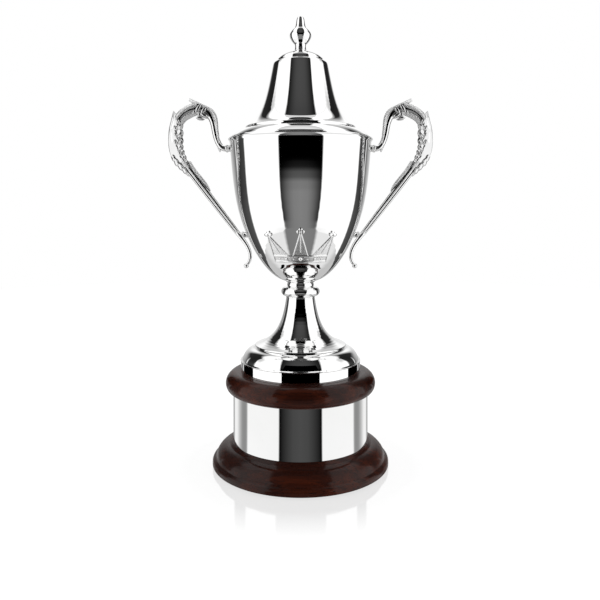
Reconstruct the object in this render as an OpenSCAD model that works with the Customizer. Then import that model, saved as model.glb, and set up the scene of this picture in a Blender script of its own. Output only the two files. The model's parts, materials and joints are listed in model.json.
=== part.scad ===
// Lidded presentation cup: spun silver-plated bowl and lid, two cast scroll handles
// with acanthus leaves, trumpet stem and domed foot, on a turned mahogany plinth
// with a plain silver band. Millimetres, +Z up, origin on the axis under the baize.
// The handles lie in the XZ plane and the coronet faces -Y.

/* [Plinth] */
// Radius of the plinth's bottom bead
base_r = 87.5; // [84:0.5:91]
// Height of the base moulding's top, where the band starts
base_top = 25; // [23:0.5:28]
// Height of the silver band
band_h = 48; // [40:1:56]
// Outer radius of the silver band
band_r = 67; // [66:0.25:68]
// Thickness of the silver band
band_t = 0.9; // [0.6:0.1:1.2]
// Radius of the rounded top moulding
top_r = 74.4; // [73.5:0.1:76]
// Height of the rounded top moulding
top_h = 20; // [18:0.5:22]
// Thickness of the baize under the base
baize_t = 1.5; // [1:0.25:2]

/* [Foot and stem] */
// Radius of the foot's upright skirt
skirt_r = 59.5; // [59:0.25:60]
// Height of the skirt up to its fine ridge
skirt_h = 11; // [10:0.5:12]
// Height of the domed part of the foot
dome_h = 15; // [14:0.5:16]
// Radius of the lip where the stem sits on the foot
lip_r = 45.5; // [44:0.5:47]
// Height of the trumpet stem
stem_h = 46.5; // [42:0.5:52]
// Radius of the stem's narrow top
stem_top_r = 14.4; // [14:0.1:14.8]
// Outer radius of the rounded knop
knop_r = 19.3; // [18.5:0.1:20]

/* [Bowl] */
// Outer radius of the bowl just under its rim
bowl_r = 70.2; // [69.8:0.1:70.6]
// Height of the bowl from the collar to the top of its rim
bowl_h = 141.6; // [138:0.2:148]
// Wall thickness of the spun pieces
wall = 1.2; // [1:0.1:1.3]
// Outer radius of the rim moulding
rim_r = 71.9; // [71.6:0.1:72.4]

/* [Lid] */
// Height of the lid from the rim to the top of its cap
lid_h = 87.5; // [82:0.5:92]
// Radius of the lid's resting edge
lid_r = 69.3; // [69.1:0.05:69.5]
// Height of the finial above the cap
finial_h = 34.5; // [32:0.5:37]
// Largest radius of the finial
finial_r = 10.9; // [10:0.1:11.5]

/* [Handles] */
// How thick the scroll is across its flat face
scroll_depth = 8; // [7:0.5:9]
// How wide the leaves spread across the scroll
leaf_depth = 15; // [13:0.5:17]

/* [Coronet] */
// Width of the coronet across its outer points
coronet_w = 60; // [54:1:64]
// Height of the coronet on the bowl
coronet_h = 35; // [32:1:37]
// How far the coronet stands out of the bowl
coronet_t = 0.9; // [0.7:0.1:1.2]

/* [Fixings] */
// Radius of the stud that holds the cup on its plinth
stud_r = 3; // [2.5:0.25:3.5]
// Radius of the well for the wing nut under the plinth
well_r = 19; // [17:0.5:21]
// Radius of the bolt between bowl and knop
bolt_r = 3; // [2.5:0.25:3.25]
// Shank radius of the screws that hold the handles
screw_r = 1.5; // [1.25:0.25:1.75]

/* [Hidden] */

turn_fn = 128;
round_fn = 32;
steps = 8;
gap = 0.05;

silver = "gainsboro";
mahogany = "#4a1a10";
brass = "goldenrod";

// Heights of the stack, from the table up
drum_top = base_top + band_h;
plinth_z = drum_top + top_h;
ridge_z = plinth_z + skirt_h;
lip_z = ridge_z + dome_h;
stem_z = lip_z + stem_h;
knop_top_z = stem_z + 11.2;
bowl_z = knop_top_z + 5;
rim_z = bowl_z + bowl_h;
cap_z = rim_z + lid_h;
tip_z = cap_z + finial_h;

// Plinth details
bead_r = (8.5 - baize_t) / 2;
tenon_r = 30;
tenon_h = 8;
well_top = 15;
stud_hole_r = stud_r + 0.3;
seam_w = 0.6;
pin_x = 5;
pin_head_r = 1.4;
pin_shank_r = 0.7;
pin_depth = 5;
pin_heights = [base_top + 8, drum_top - 8];

// Foot details
bridge_t = 2;
bridge_z = ridge_z - 5;
washer_t = 1.5;
nut_h = 5;

// Bowl, rim and lid details
belly_r = 58.7;
belly_z = bowl_z + 60.3;
rim_h = 4;
rim_top_t = 1.2;
rim_in_r = lid_r - 0.9;
bezel_t = 1;
bezel_h = 6;
edge_h = 0.9;
bell_r = 54.3;
bell_z = rim_z + 10.7;
shoulder_r = 27.6;
cap_r = 23.1;
finial_bolt_r = 2;

// Handle details
seat_z = rim_z - 9.3;
pad_z = seat_z - 86;
ferrule_r = 3.2;
ferrule_end = rim_r + 3;
pad_r = 2.9;
pad_end = 58.9;
screw_head_r = 2.8;
screw_head_h = 1.6;
screw_play = 0.1;
ball_r = 2.8;
coronet_z = bowl_z + 21.5;

// Outline helpers: a cubic curve, a circular arc, a reversed list, a wall inside an outline
function bez(a, b, c, d, n = steps) = [
    for (i = [0:n])
        let (t = i / n, s = 1 - t)
            a * s * s * s + 3 * b * s * s * t + 3 * c * s * t * t + d * t * t * t
];
function arc(centre, r, from, to, n = steps) = [
    for (i = [0:n])
        let (a = from + (to - from) * i / n)
            centre + r * [cos(a), sin(a)]
];
function reversed(p) = [for (i = [len(p) - 1:-1:0]) p[i]];
function along(p, i) = p[min(i + 1, len(p) - 1)] - p[max(i - 1, 0)];
function inside(p, t) = [
    for (i = [0:len(p) - 1])
        let (d = along(p, i))
            p[i] + t * [-d[1], d[0]] / norm(d)
];
function shell(p, t = wall) = concat(p, reversed(inside(p, t)));

module turned(outline) rotate_extrude($fn = turn_fn) polygon(outline);

module ring(r_out, r_in, z, h) translate([0, 0, z]) difference() {
    cylinder(r = r_out, h = h, $fn = turn_fn);
    translate([0, 0, -1]) cylinder(r = r_in, h = h + 2, $fn = turn_fn);
}

module shaft(r, z, h) translate([0, 0, z]) cylinder(r = r, h = h, $fn = round_fn);

module shaft_wide(r, z, h) translate([0, 0, z]) cylinder(r = r, h = h, $fn = turn_fn);

// ---- Plinth ----

module baize_pad() color("#1d3b26") ring(base_r - 4, well_r, 0, baize_t);

// Ogee base: bottom bead, quirk, swelling moulding and a fillet under the band
base_outline = concat(
    [[0, baize_t]],
    arc([base_r - 1.2, baize_t + 1.2], 1.2, -90, -10, 4),
    arc([base_r - bead_r, baize_t + bead_r], bead_r, 0, 65),
    bez([base_r - 3.6, 9], [base_r - 4, base_top - 10],
        [band_r + 11, base_top - 5], [band_r + 3, base_top - 3]),
    [[band_r + 2.4, base_top - 2.4], [band_r + 0.8, base_top - 1], [band_r + 0.4, base_top]],
    [[0, base_top]]
);

module plinth_base() color(mahogany) difference() {
    turned(base_outline);
    shaft(well_r, -1, well_top + 1);
    shaft(stud_hole_r, 0, base_top + 1);
    shaft_wide(tenon_r, base_top - tenon_h, tenon_h + 1);
}

module plinth_drum() color(mahogany) difference() {
    union() {
        shaft_wide(band_r - band_t, base_top, band_h);
        shaft_wide(tenon_r, base_top - tenon_h, band_h + 2 * tenon_h);
    }
    shaft(stud_hole_r, 0, plinth_z);
    at_pins() cylinder(r = pin_shank_r, h = pin_depth, $fn = round_fn);
}

// Rounded top moulding: a soft nose above a flatter underside
top_outline = concat(
    [[0, drum_top], [band_r - 1, drum_top]],
    bez([band_r - 1, drum_top], [band_r + 4, drum_top],
        [top_r, drum_top + 3.5], [top_r, drum_top + 9]),
    bez([top_r, drum_top + 9], [top_r, drum_top + 14.5],
        [top_r - 4.5, plinth_z - 0.8], [top_r - 10, plinth_z]),
    [[0, plinth_z]]
);

module plinth_top() color(mahogany) difference() {
    turned(top_outline);
    shaft(stud_hole_r, 0, plinth_z + 1);
    shaft_wide(tenon_r, drum_top - 1, tenon_h + 1);
}

module plinth_band() color(silver) difference() {
    ring(band_r, band_r - band_t, base_top, band_h);
    translate([-seam_w / 2, 0, 0]) cube([seam_w, band_r + 1, plinth_z]);
    at_pins() cylinder(r = pin_shank_r, h = pin_depth, $fn = round_fn);
}

// The band's seam is at the back; each pin starts inside the drum and points out along +Y
module at_pins()
    for (x = [-pin_x, pin_x], z = pin_heights)
        translate([x, band_r - pin_depth, z]) rotate([-90, 0, 0]) children();

module band_pins() color(brass) at_pins() {
    cylinder(r = pin_shank_r, h = pin_depth, $fn = round_fn);
    translate([0, 0, pin_depth]) rotate_extrude($fn = round_fn)
        polygon(concat([[0, 0]], bez([pin_head_r, 0], [pin_head_r, 0.5], [0.7, 0.8], [0, 0.8], 4)));
}

// ---- Foot and stem ----

foot_outline = concat(
    [[skirt_r, plinth_z], [skirt_r, ridge_z]],
    bez([skirt_r - 1.6, ridge_z + 1], [skirt_r - 3.4, ridge_z + 6.4],
        [skirt_r - 7, ridge_z + 10.8], [lip_r + 1.6, lip_z - 2.8]),
    [[lip_r - 1, lip_z - 1.2], [lip_r - 4, lip_z - 1]]
);

module foot() color(silver) {
    turned(shell(foot_outline));
    turned(arc([skirt_r - 0.2, ridge_z - 0.2], 0.55, -90, 90, 4));
}

module foot_bridge() color(brass) difference() {
    shaft_wide(skirt_r - wall, bridge_z, bridge_t);
    shaft(stud_r, bridge_z - 1, bridge_t + 2);
}

module fixing_stud() color(brass) shaft(stud_r, well_top - 10, bridge_z + bridge_t + 3 - well_top + 10);

module fixing_washer() color(brass) ring(9, stud_r, well_top - washer_t, washer_t);

module wing_nut() color(brass) difference() {
    union() {
        shaft(5.5, well_top - washer_t - nut_h, nut_h);
        for (side = [-1, 1])
            translate([side * 8.5, 1, well_top - washer_t - nut_h]) rotate([90, 0, 0])
                cylinder(r = 4.5, h = 2, $fn = round_fn);
    }
    shaft(stud_r, 0, well_top);
}

stem_outline = concat(
    [[lip_r - 0.4, lip_z - 1.2], [lip_r, lip_z - 0.6], [lip_r - 0.5, lip_z + 0.2]],
    bez([lip_r - 1.5, lip_z + 0.5], [lip_r - 20, lip_z + 6],
        [stem_top_r + 3.6, lip_z + 20], [stem_top_r, stem_z], 2 * steps)
);

module stem() color(silver) turned(shell(stem_outline));

knop_outline = concat(
    [[0, stem_z], [stem_top_r, stem_z], [stem_top_r, stem_z + 1.2]],
    arc([knop_r - 4.8, stem_z + 6.4], 4.8, -70, 75),
    [[13.4, knop_top_z], [0, knop_top_z]]
);

module knop() color(silver) difference() {
    turned(knop_outline);
    shaft(bolt_r, stem_z + 2, 20);
}

collar_outline = concat(
    [[0, knop_top_z], [13, knop_top_z]],
    arc([10.6, knop_top_z + 1.8], 3, -35, 35),
    [[12.8, knop_top_z + 3.7], [13.6, knop_top_z + 4], [15.6, bowl_z + 1], [0, bowl_z + 1]]
);

module collar() color(silver) difference() {
    turned(collar_outline);
    bowl_solid();
    shaft(bolt_r, stem_z, bowl_z);
}

// ---- Bowl ----

// Outside of the bowl, from the bolt hole in its bottom up to the edge inside the rim wire
bowl_outline = concat(
    [[bolt_r, bowl_z]],
    bez([10, bowl_z], [31, bowl_z], [49.5, belly_z - 28], [belly_r, belly_z], 2 * steps),
    bez([belly_r + 0.6, belly_z + 1.9], [belly_r + 8.1, belly_z + 25],
        [bowl_r - 2.3, rim_z - 31], [bowl_r, rim_z - 6]),
    [[bowl_r, rim_z - rim_top_t]]
);

// The space that the bowl's outside encloses, for fitting pieces against it
module bowl_solid() turned(concat([[0, bowl_z]], bowl_outline, [[0, rim_z - rim_top_t]]));

module bowl() color(silver) difference() {
    turned(shell(bowl_outline));
    for (z = [seat_z, pad_z]) at_handle(z, 0) screw_hole(100);
}

// Radius of the bowl's outside at a height
function bowl_at(z) = lookup(z, [for (p = bowl_outline) [p[1], p[0]]]);

// Both ends of a handle's fixing: children() run outwards along the handle's own X
module at_handle(z, x)
    for (side = [0, 1]) mirror([side, 0, 0]) translate([x, 0, z]) rotate([0, 90, 0]) children();

module screw_hole(length) cylinder(r = screw_r + screw_play, h = length, $fn = round_fn);

// Rim wire: a hollow under a square lip outside the bowl's edge, with a flat land over it
rim_outline = concat(
    [[bowl_r, rim_z - rim_h]],
    bez([bowl_r + 0.1, rim_z - rim_h], [bowl_r + 0.4, rim_z - 2.8],
        [bowl_r + 0.6, rim_z - 2.4], [rim_r - 0.3, rim_z - 1.5]),
    bez([rim_r - 0.1, rim_z - 1.4], [rim_r, rim_z - 1.2],
        [rim_r, rim_z - 0.8], [rim_r - 0.6, rim_z], 4),
    [[rim_in_r, rim_z], [rim_in_r, rim_z - rim_top_t], [bowl_r, rim_z - rim_top_t]]
);

module bowl_rim() color(silver) turned(rim_outline);

module bowl_bolt() color(brass) {
    shaft(bolt_r, stem_z + 2.5, bowl_z + wall + washer_t - stem_z - 2.5);
    translate([0, 0, bowl_z + wall + washer_t]) rotate_extrude($fn = round_fn)
        polygon(concat([[0, 0]], bez([5.5, 0], [5.5, 2.5], [3.5, 4], [0, 4])));
}

module bowl_washer() color(brass) ring(8, bolt_r, bowl_z + wall, washer_t);

// ---- Coronet ----

// A circlet with a lozenge and two rounds, under three broad points that end in trefoils
point_x = [-0.5, 0, 0.5] * coronet_w;
point_h = [0.84, 0.93, 0.84] * coronet_h;
point_lean = 0.6;
point_foot = 7.5;
band_w = 0.8 * coronet_w;
circlet_h = 0.2 * coronet_h;

module trefoil(r) for (a = [0, 90, 180]) rotate(a) translate([r, 0]) circle(r = r, $fn = 24);

module coronet_face() difference() {
    union() {
        polygon([
            [-band_w / 2, 0], [band_w / 2, 0],
            [band_w / 2 + 1.4, circlet_h], [-band_w / 2 - 1.4, circlet_h]
        ]);
        for (i = [0:len(point_x) - 1]) {
            foot_x = point_x[i] * point_lean;
            polygon([
                [foot_x - point_foot, circlet_h - 0.1], [foot_x + point_foot, circlet_h - 0.1],
                [point_x[i] + 0.9, point_h[i] - 3], [point_x[i] - 0.9, point_h[i] - 3]
            ]);
            translate([point_x[i], point_h[i] - 2]) trefoil(1.9);
        }
    }
    translate([0, circlet_h / 2]) rotate(45) square(2.2, center = true);
    for (side = [-1, 1]) translate([side * band_w * 0.27, circlet_h / 2]) circle(r = 1.2, $fn = 24);
}

module coronet() color("whitesmoke") difference() {
    intersection() {
        translate([0, 0, coronet_z]) rotate([90, 0, 0]) linear_extrude(bowl_r) coronet_face();
        turned(concat([[0, bowl_z]], [for (p = bowl_outline) p + [coronet_t, 0]], [[0, rim_z]]));
    }
    bowl_solid();
}

// ---- Handles ----

// A swept bar: rings of points across the path, each ring [x, z, half width, half depth]
function heading(path, i) =
    let (d = along([for (p = path) [p[0], p[1]]], i)) d / norm(d);
function swept_ring(path, i, sides) =
    let (p = path[i], d = heading(path, i))
        [for (k = [0:sides - 1])
            let (a = 360 * k / sides, u = p[2] * cos(a))
                [p[0] - d[1] * u, p[3] * sin(a), p[1] + d[0] * u]];

module sweep(path, sides = 12) {
    last = len(path) - 1;
    polyhedron(
        points = [for (i = [0:last]) for (q = swept_ring(path, i, sides)) q],
        faces = concat(
            [for (k = [1:sides - 2]) [0, k + 1, k]],
            [for (i = [0:last - 1], k = [0:sides - 1], half = [0, 1])
                let (a = i * sides + k, b = i * sides + (k + 1) % sides)
                    half == 0 ? [a, b, b + sides] : [a, b + sides, a + sides]],
            [for (k = [1:sides - 2]) [last * sides, last * sides + k, last * sides + k + 1]]
        )
    );
}

// Centre line of the right handle's scroll, from the ferrule round to the ball
depth_r = scroll_depth / 2;
root = [[ferrule_end, seat_z, 2.8, 2.8], [ferrule_end + 1, seat_z, 2.8, 2.8]];
neck = bez([ferrule_end + 1, seat_z, 2.8, 2.8], [80.5, seat_z, 2.8, 2.8],
    [82.5, seat_z + 8, 3, 3.2], [84, seat_z + 20, 3.2, 3.6]);
crook = bez([84, seat_z + 20, 3.2, 3.6], [85.5, seat_z + 32, 3.6, depth_r],
    [91, seat_z + 40.5, 4.6, depth_r], [101, seat_z + 40.5, 5, depth_r]);
shoulder = bez([101, seat_z + 40.5, 5, depth_r], [113, seat_z + 40.5, 5.4, depth_r],
    [124, seat_z + 33, 5, depth_r], [125.3, seat_z + 15, 4.4, depth_r]);
back = bez([125.3, seat_z + 15, 4.4, depth_r], [126.5, seat_z + 1, 4.4, depth_r],
    [117.5, seat_z - 13, 3.8, depth_r], [106.5, seat_z - 27, 3, 3.2]);
rod = [[106.5, seat_z - 27, 3, 3.2], [84.9, seat_z - 55.3, 2.4, 2.8], [62.8, pad_z + 2, 2, 2.4]];
tail = bez([62.8, pad_z + 2, 2, 2.4], [56, pad_z - 6, 1.6, 2],
    [44, pad_z - 20, 1.3, 1.6], [54, pad_z - 30.5, 1.2, 1.4]);

// Joined curves, without the points that they share
function chain(curves) = [
    for (i = [0:len(curves) - 1])
        for (k = [(i == 0 ? 0 : 1):len(curves[i]) - 1]) curves[i][k]
];

module scroll_bar() sweep(chain([root, neck, crook, shoulder, back, rod, tail]));

module handle() {
    difference() {
        scroll_bar();
        translate([pad_end - 12, -pad_r, pad_z - pad_r]) cube([12, 2 * pad_r, 2 * pad_r]);
    }
    translate([54.5, 0, pad_z - 32]) sphere(r = ball_r, $fn = 24);
}

// A leaf casting: a sleeve over the scroll that opens into tips
module leaf(sleeve, tips) difference() {
    union() {
        sweep(sleeve);
        for (tip = tips) sweep(tip);
    }
    scroll_bar();
}

function spread(path, grow_in, grow_across) = [
    for (p = path) [p[0], p[1], p[2] + grow_in, p[3] + grow_across]
];
leaf_grow = (leaf_depth - scroll_depth) / 2;

module upper_leaf() leaf(
    spread([for (i = [2:steps]) crook[i]], 1.8, leaf_grow),
    [bez([92, seat_z + 44, 1.5, leaf_depth / 2], [98, seat_z + 47, 1.5, leaf_depth / 2],
        [104, seat_z + 47, 1.2, 5], [110.5, seat_z + 51.5, 0.4, 1])]
);

module lower_leaf() leaf(
    spread(chain([[for (i = [4:steps]) shoulder[i]], [for (i = [0:steps - 1]) back[i]]]), 2, leaf_grow),
    [
        bez([129, seat_z + 16, 1.5, leaf_depth / 2], [127, seat_z + 26, 1.5, leaf_depth / 2],
            [124, seat_z + 32, 1.2, 5], [127, seat_z + 38, 0.4, 1]),
        bez([108, seat_z - 17, 2, 6], [103, seat_z - 25, 1.6, 5],
            [97, seat_z - 34, 1.2, 3], [91, seat_z - 42.5, 0.8, 1.4])
    ]
);

module handle_right() color(silver) handle();
module handle_left() color(silver) mirror([1, 0, 0]) handle();
module upper_leaf_right() color(silver) upper_leaf();
module upper_leaf_left() color(silver) mirror([1, 0, 0]) upper_leaf();
module lower_leaf_right() color(silver) lower_leaf();
module lower_leaf_left() color(silver) mirror([1, 0, 0]) lower_leaf();

// Round bosses between the bowl's outside and the handle, bored for the screws
module boss(r, z, end) difference() {
    at_handle(z, bowl_at(z) - 6) cylinder(r = r, h = end - bowl_at(z) + 6, $fn = round_fn);
    bowl_solid();
    at_handle(z, 0) screw_hole(end - 0.4);
}

module upper_ferrules() color(silver) boss(ferrule_r, seat_z, ferrule_end);
module lower_pads() color(silver) boss(pad_r, pad_z, pad_end);

// A round-headed screw from inside the bowl into each boss
module handle_screw(z, end) {
    face = bowl_at(z - screw_head_r) - 1.2 * wall - 0.25;
    at_handle(z, face) {
        cylinder(r = screw_r, h = end - 0.6 - face, $fn = round_fn);
        rotate_extrude($fn = round_fn) polygon(concat([[0, 0], [screw_head_r, 0]],
            bez([screw_head_r, -0.3], [screw_head_r, -1.2], [1.8, -screw_head_h], [0, -screw_head_h])));
    }
}

module handle_screws() color(brass) {
    handle_screw(seat_z, ferrule_end);
    handle_screw(pad_z, pad_end);
}

// ---- Lid ----

lid_outline = concat(
    [[lid_r, rim_z + gap], [lid_r, rim_z + edge_h], [lid_r - 0.1, rim_z + 1.1]],
    bez([lid_r - 0.4, rim_z + 1.4], [lid_r - 4, rim_z + 4.9],
        [lid_r - 8, rim_z + 7.8], [bell_r + 1, bell_z - 1.4], 5),
    [[bell_r + 0.4, bell_z - 1], [bell_r + 0.4, bell_z + 0.8]],
    bez([bell_r - 0.4, bell_z + 1.2], [bell_r - 17, bell_z + 10],
        [shoulder_r + 6, bell_z + 32], [shoulder_r, cap_z - 14.5], 2 * steps),
    bez([shoulder_r, cap_z - 14.5], [shoulder_r - 0.4, cap_z - 12],
        [shoulder_r - 2, cap_z - 11.4], [cap_r + 0.2, cap_z - 10.6], 4),
    bez([cap_r, cap_z - 10.2], [cap_r, cap_z - 6.2],
        [cap_r - 9.5, cap_z - 1.8], [6.4, cap_z]),
    [[finial_bolt_r, cap_z]]
);

module lid() color(silver) turned(shell(lid_outline));

module lid_bezel() color(silver)
    ring(lid_r - wall, lid_r - wall - bezel_t, rim_z - bezel_h, bezel_h + 0.3);

finial_outline = concat(
    [[0, cap_z]],
    bez([6.8, cap_z], [6, cap_z + 0.8], [5.5, cap_z + 2], [5.4, cap_z + 4]),
    [[5.6, cap_z + 6.4], [6.6, cap_z + 7.2], [8.6, cap_z + 9.6], [9.2, cap_z + 10.6]],
    bez([9.4, cap_z + 11], [finial_r + 1, cap_z + 14.5],
        [finial_r + 0.5, cap_z + 18], [6.2, cap_z + 22.5]),
    bez([5.8, cap_z + 23], [4, cap_z + 26], [4.4, cap_z + 30], [3.6, tip_z - 2.6]),
    bez([3.4, tip_z - 2.2], [2.6, tip_z - 0.4], [1.4, tip_z], [0, tip_z])
);

module finial() color(silver) {
    turned(finial_outline);
    shaft(finial_bolt_r, cap_z - 10, 10);
}

module finial_washer() color(brass) ring(6, finial_bolt_r, cap_z - wall - 1, 1);

module finial_nut() color(brass) difference() {
    translate([0, 0, cap_z - wall - 4.2]) cylinder(r = 4.4, h = 3.2, $fn = 6);
    shaft(finial_bolt_r, cap_z - 20, 20);
}

baize_pad();
plinth_base();
plinth_drum();
plinth_top();
plinth_band();
band_pins();
foot();
foot_bridge();
fixing_stud();
fixing_washer();
wing_nut();
stem();
knop();
collar();
bowl_bolt();
bowl_washer();
bowl();
bowl_rim();
coronet();
handle_left();
handle_right();
upper_leaf_left();
upper_leaf_right();
lower_leaf_left();
lower_leaf_right();
upper_ferrules();
lower_pads();
handle_screws();
lid();
lid_bezel();
finial();
finial_washer();
finial_nut();
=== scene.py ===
import json
import math

import bmesh
import bpy
import numpy as np
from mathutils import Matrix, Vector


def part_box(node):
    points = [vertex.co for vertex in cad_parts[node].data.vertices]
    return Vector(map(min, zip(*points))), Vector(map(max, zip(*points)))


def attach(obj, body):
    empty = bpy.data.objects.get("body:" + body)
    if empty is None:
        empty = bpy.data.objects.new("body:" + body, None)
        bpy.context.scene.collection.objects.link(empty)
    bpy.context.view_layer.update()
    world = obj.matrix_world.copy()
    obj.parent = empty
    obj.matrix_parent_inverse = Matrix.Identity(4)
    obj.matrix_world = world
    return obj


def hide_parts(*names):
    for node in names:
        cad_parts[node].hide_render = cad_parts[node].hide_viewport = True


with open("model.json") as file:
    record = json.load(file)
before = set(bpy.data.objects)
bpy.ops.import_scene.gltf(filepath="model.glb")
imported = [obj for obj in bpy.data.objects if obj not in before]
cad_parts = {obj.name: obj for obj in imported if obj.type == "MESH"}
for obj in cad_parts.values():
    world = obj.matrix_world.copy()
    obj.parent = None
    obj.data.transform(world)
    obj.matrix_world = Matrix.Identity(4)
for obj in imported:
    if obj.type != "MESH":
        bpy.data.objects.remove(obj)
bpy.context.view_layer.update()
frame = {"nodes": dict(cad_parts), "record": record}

MM = 0.001
TAU = 2 * math.pi


# ---------------------------------------------------------------- node helpers

def link(tree, socket, value):
    if isinstance(value, bpy.types.NodeSocket):
        tree.links.new(value, socket)
    else:
        socket.default_value = value


def node(tree, kind, inputs=None, **settings):
    made = tree.nodes.new(kind)
    for key, value in settings.items():
        setattr(made, key, value)
    for key, value in (inputs or {}).items():
        link(tree, made.inputs[key], value)
    return made


def maths(tree, operation, *values):
    made = node(tree, "ShaderNodeMath", operation=operation)
    for i, value in enumerate(values):
        link(tree, made.inputs[i], value)
    return made.outputs[0]


def ramp(tree, factor, stops, interpolation="LINEAR"):
    made = node(tree, "ShaderNodeValToRGB", {"Fac": factor})
    made.color_ramp.interpolation = interpolation
    elements = made.color_ramp.elements
    while len(elements) < len(stops):
        elements.new(0.5)
    for element, (place, colour) in zip(elements, stops):
        element.position = place
    for element, (place, colour) in zip(elements, stops):
        colour = (colour,) * 3 if isinstance(colour, (int, float)) else colour
        element.color = (*colour, 1)
    return made.outputs["Color"]


def material(name, **constants):
    made = bpy.data.materials.new(name)
    made.use_nodes = True
    tree = made.node_tree
    shader = tree.nodes["Principled BSDF"]
    for key, value in constants.items():
        shader.inputs[key.replace("_", " ")].default_value = value
    place = node(tree, "ShaderNodeTexCoord").outputs["Object"]
    return made, tree, shader, place


def noise(tree, place, scale, detail=3.0, roughness=0.5, stretch=None):
    if stretch:
        place = node(tree, "ShaderNodeMapping", {"Vector": place, "Scale": stretch}).outputs[0]
    made = node(tree, "ShaderNodeTexNoise",
                {"Vector": place, "Scale": scale, "Detail": detail, "Roughness": roughness})
    return made.outputs[0]


def bump(tree, shader, height, strength, distance):
    made = node(tree, "ShaderNodeBump",
                {"Height": height, "Strength": strength, "Distance": distance})
    tree.links.new(made.outputs[0], shader.inputs["Normal"])


# ---------------------------------------------------------------- materials

def polished_silver():
    made, tree, shader, place = material("silver_plate", Metallic=1.0)
    cloud = noise(tree, place, 22, 4)
    tree.links.new(ramp(tree, cloud, [(0.3, (0.90, 0.90, 0.895)), (0.7, (0.935, 0.935, 0.935))]),
                   shader.inputs["Base Color"])
    haze = noise(tree, place, 60, 5, 0.6)
    tree.links.new(ramp(tree, haze, [(0.35, 0.018), (0.8, 0.05)]), shader.inputs["Roughness"])
    return made


def cast_silver(name, tone, rough):
    """Castings, with painted shade from ambient occlusion darkening their deep lines."""
    made, tree, shader, place = material(name, Metallic=1.0)
    # Painted shade: ambient occlusion darks the base colour to near black in creases and deep lines
    painted_crease_shade = node(tree, "ShaderNodeAmbientOcclusion", {"Distance": 0.003}, samples=8).outputs["AO"]
    tree.links.new(ramp(tree, painted_crease_shade, [(0.15, (0.03, 0.03, 0.032)), (0.45, (0.85 * tone,) * 3),
                                     (0.75, (tone,) * 3)]), shader.inputs["Base Color"])
    haze = noise(tree, place, 160, 4, 0.6)
    tree.links.new(ramp(tree, haze, [(0.3, rough), (0.8, 1.6 * rough)]), shader.inputs["Roughness"])
    return made


def satin_silver():
    made, tree, shader, place = material("satin_silver", Metallic=1.0)
    cloud = noise(tree, place, 90, 4)
    tree.links.new(ramp(tree, cloud, [(0.3, (0.84, 0.84, 0.835)), (0.75, (0.95, 0.95, 0.95))]),
                   shader.inputs["Base Color"])
    grain = noise(tree, place, 2600, 2)
    tree.links.new(ramp(tree, grain, [(0.2, 0.34), (0.9, 0.50)]), shader.inputs["Roughness"])
    bump(tree, shader, grain, 0.35, 0.0001)
    return made


def turned_brass():
    made, tree, shader, place = material("turned_brass", Metallic=1.0)
    cloud = noise(tree, place, 130, 4)
    tree.links.new(ramp(tree, cloud, [(0.3, (0.50, 0.35, 0.14)), (0.75, (0.72, 0.55, 0.28))]),
                   shader.inputs["Base Color"])
    tree.links.new(ramp(tree, cloud, [(0.2, 0.22), (0.8, 0.36)]), shader.inputs["Roughness"])
    return made


def blended(tree, factor, a, b):
    made = node(tree, "ShaderNodeMix", data_type="RGBA")
    link(tree, [s for s in made.inputs if s.name == "Factor" and s.type == "VALUE"][0], factor)
    for name, value in (("A", a), ("B", b)):
        link(tree, [s for s in made.inputs if s.name == name and s.type == "RGBA"][0], value)
    return [o for o in made.outputs if o.type == "RGBA"][0]


def mahogany():
    """Dark red stain and a straight grain along X, under a gloss lacquer."""
    made, tree, shader, place = material(
        "mahogany", Roughness=0.5, Coat_Weight=0.36, Coat_Roughness=0.1, Coat_IOR=1.45)
    shader.inputs["Specular IOR Level"].default_value = 0.1
    figure = noise(tree, place, 9, 5, 0.55, stretch=(0.35, 2.6, 2.6))
    grain = noise(tree, place, 120, 6, 0.62, stretch=(0.06, 1.6, 1.6))
    pores = noise(tree, place, 620, 2, 0.5, stretch=(0.045, 1.5, 1.5))
    mixed = maths(tree, "ADD", maths(tree, "MULTIPLY", figure, 0.55),
                  maths(tree, "MULTIPLY", grain, 0.45))
    base = ramp(tree, mixed, [(0.34, (0.010, 0.0016, 0.0006)), (0.50, (0.032, 0.0050, 0.0014)),
                              (0.64, (0.078, 0.0128, 0.0030))])
    pored = ramp(tree, pores, [(0.56, 0.0), (0.66, 0.75)])
    tree.links.new(blended(tree, pored, base, (0.010, 0.0025, 0.0018, 1)), shader.inputs["Base Color"])
    bump(tree, shader, pores, 0.05, 0.0002)
    return made


def baize():
    made, tree, shader, place = material("baize", Roughness=0.95)
    shader.inputs["Sheen Weight"].default_value = 0.4
    fibre = noise(tree, place, 900, 4, 0.7)
    tree.links.new(ramp(tree, fibre, [(0.3, (0.010, 0.038, 0.020)), (0.75, (0.035, 0.105, 0.055))]),
                   shader.inputs["Base Color"])
    bump(tree, shader, fibre, 0.6, 0.0006)
    return made


def painted_groove_shade():
    """Painted shade: near-black metal laid in the rod's two grooves."""
    made, tree, shader, place = material("painted_groove_shade", Metallic=1.0)
    tree.links.new(ramp(tree, noise(tree, place, 400, 3), [(0.3, (0.012, 0.012, 0.013)),
                                                           (0.8, (0.05, 0.05, 0.052))]),
                   shader.inputs["Base Color"])
    shader.inputs["Roughness"].default_value = 0.45
    return made


# DARK is the painted shade laid in the scroll rod's grooves
SILVER, SATIN, DARK = polished_silver(), satin_silver(), painted_groove_shade()
# Both casting materials darken their creases with painted shade from ambient occlusion
CAST, BRUSHED = cast_silver("silver_cast", 0.74, 0.03), cast_silver("silver_brushed", 0.95, 0.45)
BRASS, WOOD, BAIZE = turned_brass(), mahogany(), baize()


# ---------------------------------------------------------------- mesh helpers

def body_of(name):
    for body, nodes in frame["record"]["behaviour"]["bodies"].items():
        if name in nodes:
            return body


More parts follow.
